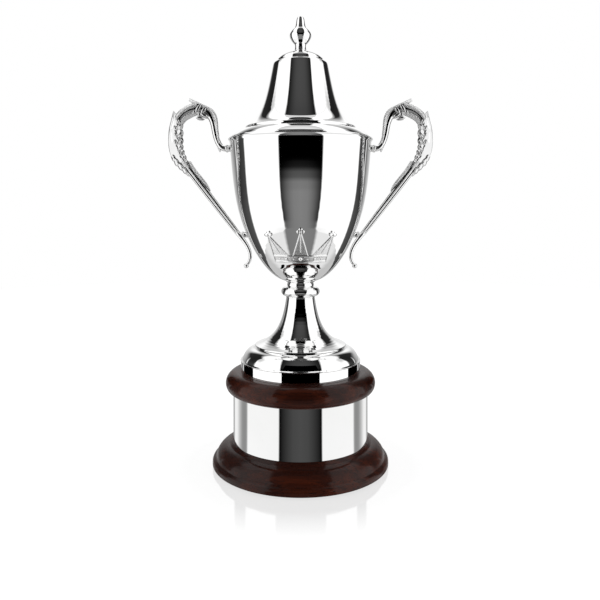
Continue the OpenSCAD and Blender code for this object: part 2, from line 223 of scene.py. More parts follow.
def piece(name, verts, faces, look, stands_for, extra=None, smooth=True):
    """A finished object that rides with the body of the CAD nodes it stands for."""
    mesh = bpy.data.meshes.new(name)
    mesh.from_pydata([tuple(v) for v in verts], [], [tuple(int(i) for i in f) for f in faces])
    bm = bmesh.new()
    bm.from_mesh(mesh)
    bmesh.ops.remove_doubles(bm, verts=bm.verts, dist=1e-7)
    bmesh.ops.recalc_face_normals(bm, faces=bm.faces)
    bm.to_mesh(mesh)
    bm.free()
    for polygon in mesh.polygons:
        polygon.use_smooth = smooth
    made = bpy.data.objects.new(name, mesh)
    bpy.context.scene.collection.objects.link(made)
    mesh.materials.append(look)
    if extra:
        mesh.materials.append(extra)
    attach(made, body_of(stands_for[0]))
    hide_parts(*stands_for)
    return made


def section(name):
    """The outline of a turned node in order, as (radius, height), from the rings in its mesh."""
    mesh = frame["nodes"][name].data
    spots = [(round(math.hypot(v.co.x, v.co.y) / MM, 3), round(v.co.z / MM, 3))
             for v in mesh.vertices]
    count = {}
    for spot in spots:
        count[spot] = count.get(spot, 0) + 1

    def main(spot):
        steps = (-0.001, 0, 0.001)
        around = [(round(spot[0] + i, 3), round(spot[1] + j, 3)) for i in steps for j in steps]
        return max((p for p in around if p in count), key=lambda p: (count[p], p))

    whole = {spot: main(main(spot)) for spot in count}
    total = {}
    for spot, kept in whole.items():
        total[kept] = total.get(kept, 0) + count[spot]
    near = {}
    for edge in mesh.edges:
        a, b = [whole[spots[i]] for i in edge.vertices]
        if a != b and all(total[p] >= 16 or p[0] < 0.01 for p in (a, b)):
            near.setdefault(a, set()).add(b)
            near.setdefault(b, set()).add(a)
    loose = sorted(p for p in near if len(near[p]) == 1)
    walk = [loose[0] if loose else min(near)]
    seen = set(walk)
    while True:
        onward = [p for p in sorted(near[walk[-1]]) if p not in seen]
        if not onward:
            break
        walk.append(onward[0])
        seen.add(onward[0])
    if loose:
        walk = [(0, walk[0][1])] * (walk[0][0] > 0) + walk + [(0, walk[-1][1])] * (walk[-1][0] > 0)
    return np.array(walk, float) * MM, not loose


def softened(outline, closed, edge=0.3 * MM, crease=22, finer=3):
    """Rounds an outline's corners and makes its curved runs finer."""
    count = len(outline)
    at = (lambda i: outline[i % count]) if closed else (lambda i: outline[min(max(i, 0), count - 1)])
    tangent, corner = [None] * count, [False] * count
    for i in range(count):
        back, on = at(i) - at(i - 1), at(i + 1) - at(i)
        lb, lo = np.linalg.norm(back), np.linalg.norm(on)
        if lb < 1e-9 or lo < 1e-9:
            continue
        back, on = back / lb, on / lo
        turn = math.degrees(math.acos(max(-1, min(1, float(back @ on)))))
        if turn > crease:
            corner[i] = True
        elif max(lb, lo) > 4 * min(lb, lo):
            tangent[i] = back if lb > lo else on
        else:
            mean = back * lo + on * lb
            tangent[i] = mean / np.linalg.norm(mean)
    out = []
    for i in range(count):
        p, q = at(i), at(i + 1)
        if corner[i]:
            back, on = p - at(i - 1), q - p
            lb, lo = np.linalg.norm(back), np.linalg.norm(on)
            cut = min(edge, 0.35 * lb, 0.35 * lo)
            a, b = p - back / lb * cut, p + on / lo * cut
            if lb > 4 * cut:
                out.append(a - back / lb * 0.4 * cut)
            for t in (0, 0.2, 0.4, 0.6, 0.8, 1):
                out.append(a * (1 - t) ** 2 + 2 * p * t * (1 - t) + b * t * t)
            if lo > 4 * cut:
                out.append(b + on / lo * 0.4 * cut)
        else:
            out.append(p)
        j = (i + 1) % count
        if not closed and i == count - 1:
            continue
        if tangent[i] is None and tangent[j] is None:
            continue
        length = np.linalg.norm(q - p)
        straight = (q - p) / length
        m0 = (tangent[i] if tangent[i] is not None else straight) * length
        m1 = (tangent[j] if tangent[j] is not None else straight) * length
        for k in range(1, finer):
            t = k / finer
            point = ((2 * t**3 - 3 * t**2 + 1) * p + (t**3 - 2 * t**2 + t) * m0
                     + (3 * t**2 - 2 * t**3) * q + (t**3 - t**2) * m1)
            if corner[i] and np.linalg.norm(point - p) < 2 * edge:
                continue
            if corner[j] and np.linalg.norm(point - q) < 2 * edge:
                continue
            out.append(point)
    return np.array(out)


def spun(outline, closed, segments=256, slit=0.0):
    """Vertices and faces of an outline turned round Z. A slit leaves a gap at the back."""
    verts, faces, rings = [], [], []
    start = TAU / 4 + slit / 2
    sweep = TAU - slit
    steps = segments + (1 if slit else 0)
    for r, z in outline:
        if r < 1e-7:
            rings.append([len(verts)] * steps)
            verts.append((0, 0, z))
            continue
        rings.append(list(range(len(verts), len(verts) + steps)))
        for k in range(steps):
            a = start + sweep * k / segments
            verts.append((r * math.cos(a), r * math.sin(a), z))
    pairs = len(rings) if closed else len(rings) - 1
    for i in range(pairs):
        low, high = rings[i], rings[(i + 1) % len(rings)]
        for k in range(segments):
            n = (k + 1) % steps
            face = [low[k], low[n], high[n], high[k]]
            face = list(dict.fromkeys(face))
            if len(face) > 2:
                faces.append(face)
    if slit:
        faces.append([ring[0] for ring in rings])
        faces.append([ring[-1] for ring in rings][::-1])
    return verts, faces


def turned(name, look, segments=256, edge=0.3 * MM, slit=0.0, finer=3):
    outline, closed = section(name)
    verts, faces = spun(softened(outline, closed, edge, finer=finer), closed, segments, slit)
    return piece(name + "_turned", verts, faces, look, [name])


# ---------------------------------------------------------------- turned pieces

turned("baize_pad", BAIZE, edge=0.5 * MM)
turned("plinth_base", WOOD, edge=0.5 * MM)
turned("plinth_drum", WOOD, finer=1)
turned("plinth_top", WOOD, edge=0.8 * MM)
seam = 0.6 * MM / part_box("plinth_band")[1].x
turned("plinth_band", SILVER, edge=0.12 * MM, slit=seam, finer=1)
turned("foot", SILVER, edge=0.25 * MM)
turned("stem", SILVER, edge=0.25 * MM)
turned("knop", SILVER, segments=192, edge=0.25 * MM)
turned("collar", SILVER, segments=192, edge=0.25 * MM)
turned("bowl", SILVER, edge=0.2 * MM, finer=2)
turned("bowl_rim", SILVER, edge=0.2 * MM)
turned("lid", SILVER, edge=0.25 * MM, finer=2)
turned("lid_bezel", SILVER, edge=0.2 * MM)
turned("finial", SILVER, segments=128, edge=0.2 * MM)
for name, segments in [("foot_bridge", 128), ("fixing_stud", 64), ("fixing_washer", 96),
                       ("bowl_bolt", 64), ("bowl_washer", 96), ("finial_washer", 64)]:
    turned(name, BRASS, segments=segments, edge=0.2 * MM)
for name in ["band_pins", "wing_nut", "handle_screws", "finial_nut"]:
    frame["nodes"][name].data.materials.clear()
    frame["nodes"][name].data.materials.append(BRASS)


# ---------------------------------------------------------------- handles, in millimetres

ferrules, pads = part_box("upper_ferrules"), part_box("lower_pads")
END = ferrules[1].x / MM
SEAT = (ferrules[0].z + ferrules[1].z) / 2 / MM
PAD_END = pads[1].x / MM
PAD = (pads[0].z + pads[1].z) / 2 / MM
DEEP = 4.0

# Each curve: four control points of (x, z, half width in the handle's plane, half depth)
CURVES = [np.array(c, float) for c in (
    [(END, SEAT, 2.8, 2.8), (END + 5.6, SEAT, 2.8, 2.8),
     (END + 9.1, SEAT + 8, 2.9, 2.9), (END + 10.9, SEAT + 20, 3.0, 3.0)],
    [(END + 10.9, SEAT + 20, 3.0, 3.0), (END + 12.7, SEAT + 32, 3.1, 3.2),
     (END + 17.6, SEAT + 39.5, 4.2, DEEP), (END + 27.1, SEAT + 39.5, 5.0, DEEP)],
    [(END + 27.1, SEAT + 39.5, 5.0, DEEP), (END + 38.6, SEAT + 39.5, 5.2, DEEP),
     (END + 49.1, SEAT + 33, 5.0, DEEP), (END + 50.4, SEAT + 15, 4.4, DEEP)],
    [(END + 50.4, SEAT + 15, 4.4, DEEP), (END + 51.6, SEAT + 1, 4.4, DEEP),
     (END + 42.6, SEAT - 13, 3.8, DEEP), (END + 31.6, SEAT - 27, 3.6, 3.6)],
    [(END + 31.6, SEAT - 27, 3.6, 3.6), (END + 17.2, SEAT - 45.9, 3.5, 3.5),
     (PAD_END + 18.5, PAD + 21, 3.2, 3.2), (PAD_END + 3.9, PAD + 2, 2.5, 2.6)],
    [(PAD_END + 3.9, PAD + 2, 2.5, 2.6), (PAD_END - 2.9, PAD - 6, 2.0, 2.1),
     (PAD_END - 14.9, PAD - 20, 1.7, 1.7), (PAD_END - 4.9, PAD - 30.5, 1.4, 1.4)])]


def spine(u):
    """Centre, half sizes and outward direction of the scroll at curve number and fraction u."""
    u = np.clip(np.asarray(u, float), 0, len(CURVES) - 1e-9)
    k = u.astype(int)
    t = (u - k)[:, None]
    c = np.array(CURVES)[k]
    at = ((1 - t) ** 3 * c[:, 0] + 3 * (1 - t) ** 2 * t * c[:, 1]
          + 3 * (1 - t) * t**2 * c[:, 2] + t**3 * c[:, 3])
    way = ((1 - t) ** 2 * (c[:, 1] - c[:, 0]) + 2 * (1 - t) * t * (c[:, 2] - c[:, 1])
           + t**2 * (c[:, 3] - c[:, 2]))[:, :2]
    way /= np.linalg.norm(way, axis=1)[:, None]
    return at[:, :2], at[:, 2], at[:, 3], np.stack([-way[:, 1], way[:, 0]], 1)


def skin(rings):
    """A closed tube through rings of points, with a flat cap at each end."""
    rows, around = rings.shape[:2]
    verts = rings.reshape(-1, 3) * MM
    faces = []
    for i in range(rows - 1):
        for k in range(around):
            a, b = i * around + k, i * around + (k + 1) % around
            faces.append((a, b, b + around, a + around))
    faces.append(list(range(around))[::-1])
    faces.append([(rows - 1) * around + k for k in range(around)])
    return verts, faces


def place(centre, out, up, across):
    """Points from a spine's centre, given distances outward in the plane and across it."""
    x = centre[:, 0, None] + out[:, 0, None] * up
    z = centre[:, 1, None] + out[:, 1, None] * up
    return np.stack([x, across, z], -1)


def scroll():
    """The scroll with its plain crook, a rod with two grooves to each side, and a curled tail.
    The last list says which faces lie in a groove."""
    u = np.concatenate([np.linspace(k, k + 1, n, endpoint=False)
                        for k, n in enumerate((30, 30, 40, 34, 60, 44))] + [[6]])
    centre, wide, deep, out = spine(u)
    a = np.linspace(0, TAU, 96, endpoint=False)[None]
    reed = np.interp(u, [3.3, 3.5, 4.9, 5.05], [0, 1, 1, 0])[:, None]
    groove = np.exp(-((np.abs(np.cos(a)) - 0.42) / 0.13) ** 2) * reed
    ridge = np.clip(1 - np.abs(np.cos(a)) / 0.34, 0, 1) * reed
    shape = 1 + 0.26 * ridge - 0.2 * groove
    up = wide[:, None] * shape * np.cos(a)
    across = deep[:, None] * shape * np.sin(a)
    verts, faces = skin(place(centre, out, up, across))
    return verts, faces, [f for f, depth in enumerate(groove[:-1].ravel()) if depth > 0.45]


def smooth_run(keys, count):
    """A smooth run of rows through the rows of a short table."""
    keys = np.asarray(keys, float)
    t = np.linspace(0, len(keys) - 1, count)
    k = np.minimum(t.astype(int), len(keys) - 2)
    f = (t - k)[:, None]
    a, b, c, d = (keys[np.clip(k + i, 0, len(keys) - 1)] for i in (-1, 0, 1, 2))
    return 0.5 * (2 * b + (c - a) * f + (2 * a - 5 * b + 4 * c - d) * f**2
                  + (3 * b - a - 3 * c + d) * f**3)


def fold(keys, ripple=0.0, waves=0, wander=0.0, turns=0, line=0.0, frill=0.0, profile=None,
         rows=150, columns=30):
    """A leaf folded along a ridge. Each key: outer edge (x, z), inner edge (x, z), how far across
    the ridge is and how high it stands to the front and back. The inner side is rippled in waves,
    the ridge wanders in turns, a fine line follows the outer edge and the edge is frilled."""
    run = smooth_run(keys, rows)
    s = np.linspace(0, 1, rows)[:, None]
    outer, inner, ridge, high = run[:, 0:2], run[:, 2:4], run[:, 4:5], run[:, 5:6]
    fade = np.clip(np.minimum(s, 1 - s) / 0.12, 0, 1)
    q = 0.5 - 0.5 * np.cos(np.linspace(0, math.pi, columns))[None]
    wave = np.abs(np.sin(math.pi * waves * (s + 0.03 * q)))
    outer = outer + (outer - inner) * frill * (np.abs(np.sin(math.pi * turns * s)) - 0.5) * fade
    inner = inner - (outer - inner) * 0.5 * ripple * (wave[:, -1:] - 0.5) * fade
    ridge = ridge + wander * np.sin(TAU * turns * s) * fade
    if profile:
        shape = np.interp(q, *zip(*profile)) + 0 * s
    else:
        edge = 1 - np.where(q < ridge, q / ridge, (1 - q) / (1 - ridge))
        shape = np.clip(1.004 - np.sqrt(edge**2 + 0.008), 0, 1) ** 0.72
    height = high * shape * (1 + ripple * (wave - 0.5) * (q > ridge) * fade)
    height = np.maximum(height - line * np.exp(-((q - 0.24) / 0.035) ** 2) * fade, 0)
    flat = outer[:, None] + (inner - outer)[:, None] * q[..., None]
    front = np.stack([flat[..., 0], -height, flat[..., 1]], -1)
    back = np.stack([flat[..., 0], height, flat[..., 1]], -1)[:, -2:0:-1]
    return skin(np.concatenate([front, back], 1))


def bud(x, z, y, length, width, tilt):
    """A small lobe of a leaf, to the front and to the back of the scroll."""
    a = math.radians(tilt)
    parts = []
    for side in (-1, 1):
        verts, faces = ball(0, 0, 0, 1.0, 12)
        along, over, across = verts[:, 0] * length / 2, verts[:, 2] * width / 2, verts[:, 1] * 1.6
        parts.append((np.stack([x * MM + along * math.cos(a) - over * math.sin(a),
                                side * y * MM + across,
                                z * MM + along * math.sin(a) + over * math.cos(a)], -1), faces))
    return both(parts)


def both(parts):
    """Joins several solids into one list of vertices and faces."""
    verts, faces, count = [], [], 0
    for v, f in parts:
        verts.append(np.asarray(v, float).reshape(-1, 3))
        faces += [[i + count for i in face] for face in f]
        count += len(verts[-1])
    return np.concatenate(verts), faces


def mirrored(part):
    verts, faces = part
    return verts * (-1, 1, 1), [list(face)[::-1] for face in faces]


def ball(x, y, z, r, n=24):
    outline = [(r * math.sin(math.pi * k / n), r * math.cos(math.pi * k / n)) for k in range(n + 1)]
    verts, faces = spun(outline, False, 32)
    return np.array(verts) * MM + np.array((x, y, z)) * MM, faces


def pieces_pair(name, part, look, stands_for, extra=None):
    return (piece(name + "_right", *part, look, [stands_for + "_right"], extra=extra),
            piece(name + "_left", *mirrored(part), look, [stands_for + "_left"], extra=extra))


def about(x, z, table):
    """Keys given from the handle's seat as a table of numbers from (x, z)."""
    return [(a + x, b + z, c + x, d + z, ridge, high) for a, b, c, d, ridge, high in table]


bar_verts, bar_faces, dark_faces = scroll()
bar = both([(bar_verts, bar_faces), ball(PAD_END - 4.7, 0, PAD - 31, 2.4)])
# The rod's groove faces take DARK, painted shade for its grooves
for made in pieces_pair("scroll", bar, SILVER, "handle", extra=DARK):
    for f in dark_faces:
        made.data.polygons[f].material_index = 1

# The top leaf: its blade along the crook, the plain part under it, and its frilled lobes
blade = fold(about(END, SEAT, [
    (4.6, -3, 6.0, -3.4, 0.3, 1.0), (5.5, 6, 9.3, 5.5, 0.2, 3.4), (6.7, 18, 11.3, 17.5, 0.2, 4.2),
    (8.1, 31, 12.7, 28.5, 0.2, 4.9), (12.6, 39, 16.4, 34.8, 0.2, 5.6),
    (20.6, 43.4, 22.7, 38.6, 0.2, 6.2), (27.6, 46.6, 29.3, 42.4, 0.2, 5.2),
    (34.9, 50.0, 36.5, 47.2, 0.25, 2.4)]))
crest = fold(about(END, SEAT, [
    (27.5, 45.6, 28.5, 33.0, 0.5, 5.6), (36.5, 43.6, 33.0, 31.0, 0.5, 6.0),
    (45.0, 38.0, 39.0, 27.5, 0.5, 5.8), (51.0, 30.0, 42.6, 23.0, 0.5, 5.0)]),
    profile=[(0, 0), (0.03, 0.45), (0.22, 0.95), (0.27, 1.0), (0.33, 0.97), (0.49, 0.40),
             (0.53, 0.34), (0.57, 0.40), (0.72, 0.93), (0.77, 0.97), (0.83, 0.92), (0.97, 0.4),
             (1, 0)], columns=60)
frills = [bud(END + x, SEAT + z, 4.6, long, wide, tilt) for x, z, long, wide, tilt in (
    (21.0, 37.4, 7.5, 4.0, -52), (26.4, 39.2, 9.5, 4.0, -58), (20.4, 32.4, 7.5, 3.6, 22),
    (25.0, 33.2, 6.0, 3.8, -65), (30.0, 35.6, 6.0, 3.4, -60), (25.0, 29.8, 7.5, 2.6, 4))]
pieces_pair("upper_acanthus", both(frills), CAST, "upper_leaf")
pieces_pair("upper_blade", both([blade, crest]), BRUSHED, "upper_leaf")

# The long leaf: its smooth back with a rippled inner side, a second lobe, and a tongue
back = fold(about(END, SEAT, [
    (51.9, 37.8, 51.4, 37.4, 0.5, 0.5), (52.9, 33.0, 47.4, 32.6, 0.6, 2.8),
    (54.9, 25.4, 42.9, 27.2, 0.62, 5.4), (56.4, 17.6, 42.4, 19.2, 0.6, 6.2),
    (56.9, 8.2, 42.2, 9.6, 0.66, 6.4), (56.1, -1.4, 42.2, 1.9, 0.68, 6.2),
    (53.4, -9.4, 40.9, -3.4, 0.7, 5.8), (48.6, -15.6, 38.5, -10.4, 0.7, 5.2),
    (43.1, -21.0, 36.1, -14.6, 0.68, 4.6), (38.4, -24.8, 32.8, -20.2, 0.6, 3.4)]),
    ripple=0.16, waves=11, wander=0.06, turns=5, line=0.5, frill=0.01)
lobe = fold(about(END, SEAT, [
    (54.5, -8.0, 50.5, -5.0, 0.5, 3.0), (50.6, -15.0, 46.0, -9.0, 0.5, 4.2),
    (45.4, -20.4, 41.0, -15.0, 0.5, 4.6), (40.0, -25.2, 36.6, -20.6, 0.5, 4.0),
    (36.6, -28.0, 35.6, -26.6, 0.5, 1.0)]), turns=5, frill=0.12, wander=0.06)
tongue = fold(about(END, SEAT, [
    (36.8, -13.6, 34.8, -12.4, 0.5, 4.0), (32.0, -22.2, 29.6, -20.6, 0.5, 4.4),
    (25.6, -30.0, 23.2, -28.4, 0.5, 4.2), (19.6, -37.2, 17.6, -35.8, 0.5, 3.4),
    (15.6, -42.6, 14.8, -42.0, 0.5, 0.8)]),
    profile=[(0, 0), (0.06, 0.78), (0.5, 1.0), (0.94, 0.78), (1, 0)])
beads = [bud(END + x, SEAT + z, 5.6, 6.5, 3.0, tilt) for x, z, tilt in (
    (46.0, 26.0, 62), (48.6, 19.6, 58), (48.2, 12.6, 62), (48.6, 5.6, 66),
    (44.6, -5.0, 62), (40.8, -12.0, 50))]
pieces_pair("lower_acanthus", both([back, lobe] + beads), CAST, "lower_leaf")
pieces_pair("lower_tongue", tongue, BRUSHED, "lower_leaf")


def along_x(outline):
    """A part turned about X, from (distance along X, radius) in millimetres."""
    verts, faces = spun([(r * MM, x * MM) for x, r in outline], False, 64)
    return np.array([(z, y, x) for x, y, z in verts]), faces


def boss(start, end, r, height, bead):
    """A turned boss between bowl and handle, with a bead near its outer end."""
    outline = [(start, 0), (start, r), (end - bead - 1.0, r)]
    outline += [(end - bead / 2 - 0.5 - (bead / 2) * math.cos(math.pi * k / 8),
                 r + 0.75 * math.sin(math.pi * k / 8)) for k in range(9)]
    outline += [(end - 0.3, r - 0.1), (end, r - 0.4), (end, 0)]
    verts, faces = along_x(outline)
    return verts + np.array((0, 0, height)) * MM, faces


upper_boss = boss(ferrules[1].x / MM - 6.5, END, 3.1, SEAT, 2.6)
lower_boss = boss(PAD_END - 6.5, PAD_END, 2.7, PAD, 1.6)
piece("ferrules_turned", *both([upper_boss, mirrored(upper_boss)]), SILVER, ["upper_ferrules"])
piece("pads_turned", *both([lower_boss, mirrored(lower_boss)]), SILVER, ["lower_pads"])


# ---------------------------------------------------------------- coronet

def bowl_radius():
    """The bowl's outside as a function of height, both in millimetres."""
    outline = section("bowl")[0] / MM
    best = {}
    for r, z in outline:
        best[round(z, 3)] = max(best.get(round(z, 3), 0), r)
    rows = sorted(best.items())
    kept = [rows[0]]
    for z, r in rows[1:]:
        if r > kept[-1][1] + 1e-4:
            kept.append((z, r))
    z, r = np.array(kept).T
    return lambda height: np.interp(height, z, r)


def coronet():
    """Relief over the bowl: a circlet with a lozenge and two rounds, under three broad
    points that end in trefoils. The field is satin and the raised lines are polished."""
    lo, hi = (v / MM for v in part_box("coronet"))
    width, low, high = hi.x - lo.x, lo.z, hi.z
    unit = (high - low) / 35
    across = width - 3.8 * 2 * unit
    band = 0.8 * across
    tall = 7 * unit
    xs = [f * across for f in (-0.5, 0, 0.5)]
    tops = [f * (high - low) * 0.985 for f in (0.84, 0.93, 0.84)]
    lean, half_foot, lobe = 0.6, 7.5, 1.9
    step = 0.22
    gx, gz = np.meshgrid(np.arange(-across / 2 - 5, across / 2 + 5, step),
                         np.arange(-1.2, high - low + 2, step), indexing="ij")

    def disc(x, z, r):
        return np.hypot(gx - x, gz - z) - r

    def hull(points):
        """Signed distance to a convex outline given anticlockwise."""
        far = None
        for (ax, az), (bx, bz) in zip(points, points[1:] + points[:1]):
            length = math.hypot(bx - ax, bz - az)
            d = ((gx - ax) * (bz - az) - (gz - az) * (bx - ax)) / length
            far = d if far is None else np.maximum(far, d)
        return far

    shape = hull([(-band / 2, 0), (band / 2, 0), (band / 2 + 1.4, tall), (-band / 2 - 1.4, tall)])
    knobs = np.full(gx.shape, 9.0)
    for x, top in zip(xs, tops):
        foot = lean * x
        shape = np.minimum(shape, hull([(foot - half_foot, tall - 0.4), (foot + half_foot, tall - 0.4),
                                        (x + 1.0, top - 3), (x - 1.0, top - 3)]))
        for dx, dz in ((lobe, 0), (0, lobe), (-lobe, 0)):
            knobs = np.minimum(knobs, disc(x + dx, top - 2 + dz, lobe))
    inside = np.minimum(shape, knobs)
    rim = np.exp(-((inside + 0.55) / 0.32) ** 2)
    height = 0.42 + 0.5 * rim
    rails = [(1.35, 0.4), (tall - 1.0, 0.4)]
    in_band = np.clip((band / 2 + 0.6 - np.abs(gx)) / 0.4, 0, 1)
    polish = rim > 0.35
    for z, w in rails:
        rail = np.exp(-((gz - z) / w) ** 2) * in_band
        height = np.maximum(height, 0.42 + 0.55 * rail)
        polish |= rail > 0.45
    stones = np.abs(gx) + np.abs(gz - tall / 2) - 2.0
    for side in (-1, 1):
        for spot, r in ((0.27, 1.25), (0.135, 0.6), (0.4, 0.6)):
            stones = np.minimum(stones, disc(side * spot * band, tall / 2, r))
    dome = np.sqrt(np.clip(-stones, 0, None))
    height = np.maximum(height, 0.45 + 0.62 * dome)
    polish |= stones < -0.1
    ribs = np.zeros(gx.shape)
    for x, top in zip(xs, tops):
        line = lean * x + (x - lean * x) * (gz - tall) / (top - 3 - tall)
        ribs = np.maximum(ribs, np.exp(-((gx - line) / 0.35) ** 2)
                          * np.clip((gz - tall - 2) / 1.5, 0, 1) * np.clip((top - 4 - gz) / 1, 0, 1))
    height = np.maximum(height, 0.42 + 0.38 * ribs)
    height = np.where(knobs < 0, 0.5 + 0.75 * np.sqrt(np.clip(-knobs, 0, 1.2)), height)
    polish |= knobs < 0.05
    height *= np.clip(-inside / 0.16, 0.0, 1.0) ** 0.5

    keep = inside < 0
    slope_x, slope_z = np.gradient(inside, step)
    edge = (inside >= 0) & (inside < 1.6 * step)
    pull = np.where(edge, inside / np.maximum(slope_x**2 + slope_z**2, 0.3), 0)
    px, pz = gx - pull * slope_x, gz - pull * slope_z
    radius = bowl_radius()
    index = -np.ones(gx.shape, int)
    use = keep | edge
    index[use] = np.arange(use.sum())
    cells = []
    cell_polish = []
    for i in range(gx.shape[0] - 1):
        for k in range(gx.shape[1] - 1):
            corners = [(i, k), (i + 1, k), (i + 1, k + 1), (i, k + 1)]
            if all(use[c] for c in corners) and any(keep[c] for c in corners):
                cells.append([index[c] for c in corners])
                cell_polish.append(sum(polish[c] for c in corners) >= 2)
    x, z, h = px[use], pz[use] + low, np.where(keep, height, 0)[use]
    top = radius(z) + h
    below = radius(z) - 0.25
    count = len(x)
    verts = np.concatenate([
        np.stack([x, -np.sqrt(top**2 - x**2), z], 1),
        np.stack([x, -np.sqrt(below**2 - x**2), z], 1)]) * MM
    edges = {}
    for cell in cells:
        for a, b in zip(cell, cell[1:] + cell[:1]):
            edges[(a, b)] = edges.get((a, b), 0) + 1
    walls = [(a, a + count, b + count, b) for a, b in edges if (b, a) not in edges]
    faces = cells + [[i + count for i in cell[::-1]] for cell in cells] + [list(w) for w in walls]
    made = piece("coronet_relief", verts, faces, SATIN, ["coronet"], extra=SILVER)
    for polygon, shiny in zip(made.data.polygons, cell_polish):
        polygon.material_index = 1 if shiny else 0
    return made


coronet()


# ---------------------------------------------------------------- studio

# Brightness of the studio by angle round it from the camera's side: a dark gap at the front, a
# tall soft box to each side with a dark gap and a narrow bright slit behind it, then a wall
WALL = [(0, 0.0), (34.5, 0.0), (36.5, 1.0), (104.5, 1.0), (107, 0.05), (122, 0.028), (128.5, 0.03),
        (130, 0.75), (131.5, 0.7), (133.5, 0.12), (136, 0.13), (140, 0.26), (148, 0.38),
        (158, 0.50), (169, 0.72), (180, 0.84)]
HIGH = [(0, 0.0), (34.5, 0.0), (36.5, 1.0), (106, 1.0), (110, 0.02), (122, 0.012), (148, 0.02),
        (161, 0.88), (180, 0.95)]
TOP = [(0, 0.0), (34, 0.0), (37, 1.0), (180, 1.0)]
UNDER = [(0, 0.19), (31, 0.17), (38, 0.72), (95, 0.7), (112, 0.48), (180, 0.48)]
TABLE = [(0, 0.062), (12, 0.055), (20, 0.038), (30, 0.014), (34.5, 0.0), (36.5, 0.82), (98, 0.84),
         (102, 0.28), (106, 0.23), (114, 0.25), (120, 0.37), (127, 0.55), (133, 0.75), (145, 0.82),
         (150, 0.62), (154, 0.34), (163, 0.33), (170, 0.38), (180, 0.52)]
GAP_SIDE = [(0, 1.0), (12, 0.93), (18, 0.78), (24, 0.55), (30, 0.28), (34.5, 0.1)]
GAP_RISE = [(-60, 0.19), (-17.5, 0.195), (-12.5, 0.168), (-8.6, 0.06), (-6.8, 0.012), (-5.5, 0.0),
            (20, 0.0), (27, 0.018), (34, 0.062), (75, 0.05)]
OVERHEAD = [(14, 0.0), (24, 0.16), (47, 0.237), (68, 0.351), (88, 0.493), (98, 0.57), (110, 0.2),
            (122, 0.0)]
BEYOND = [(88, 0.0), (90, 0.51), (98, 0.57), (106, 0.643)]
POWER = 1.2


def by_angle(tree, turn, table):
    return ramp(tree, maths(tree, "DIVIDE", turn, math.pi), [(a / 180, v) for a, v in table])


def scaled(tree, a, b):
    return node(tree, "ShaderNodeVectorMath", {0: a, 1: b}, operation="MULTIPLY").outputs[0]


def added(tree, a, b):
    return node(tree, "ShaderNodeVectorMath", {0: a, 1: b}, operation="ADD").outputs[0]


def stage_mesh(name, verts, faces, look):
    mesh = bpy.data.meshes.new(name)
    mesh.from_pydata(verts, [], faces)
    mesh.materials.append(look)
    made = bpy.data.objects.new(name, mesh)
    bpy.context.scene.collection.objects.link(made)
    return made


def bare_material(name):
    made = bpy.data.materials.new(name)
    made.use_nodes = True
    made.node_tree.nodes.clear()
    return made, made.node_tree


def studio_floor():
    """A round white light table, with a faint gloss about the plinth and its glow dimmed there as
    painted shade.
    """
    made, tree = bare_material("floor_white")
    place = node(tree, "ShaderNodeTexCoord").outputs["Object"]
    away = node(tree, "ShaderNodeVectorMath", {0: place}, operation="LENGTH").outputs["Value"]
    matt = node(tree, "ShaderNodeBsdfDiffuse", {"Color": (0.2, 0.2, 0.2, 1)})
    gloss = node(tree, "ShaderNodeBsdfGlossy", {"Color": (1, 1, 1, 1), "Roughness": 0.06})
    # Painted shade: the floor's glow drops from 0.95 away to 0.72 close about the plinth
    glow = node(tree, "ShaderNodeEmission",
                {"Color": (1, 1, 1, 1), "Strength": ramp(tree, away, [(0.11, 0.72), (0.16, 0.95)])})
    mixed = node(tree, "ShaderNodeMixShader", {0: ramp(tree, away, [(0.11, 0.17), (0.16, 0.0)]),
                                               1: matt.outputs[0], 2: gloss.outputs[0]})
    lit = node(tree, "ShaderNodeAddShader", {0: mixed.outputs[0], 1: glow.outputs[0]})
    tree.links.new(lit.outputs[0], node(tree, "ShaderNodeOutputMaterial").inputs["Surface"])
    around = [TAU * k / 96 for k in range(96)]
    floor = stage_mesh("floor", [(1.7 * math.cos(a), 1.7 * math.sin(a), 0) for a in around],
                       [range(96)], made)
    floor.visible_glossy = False


def only_mirrored(made):
    for flag in ("camera", "diffuse", "transmission", "shadow", "volume_scatter"):
        setattr(made, "visible_" + flag, False)


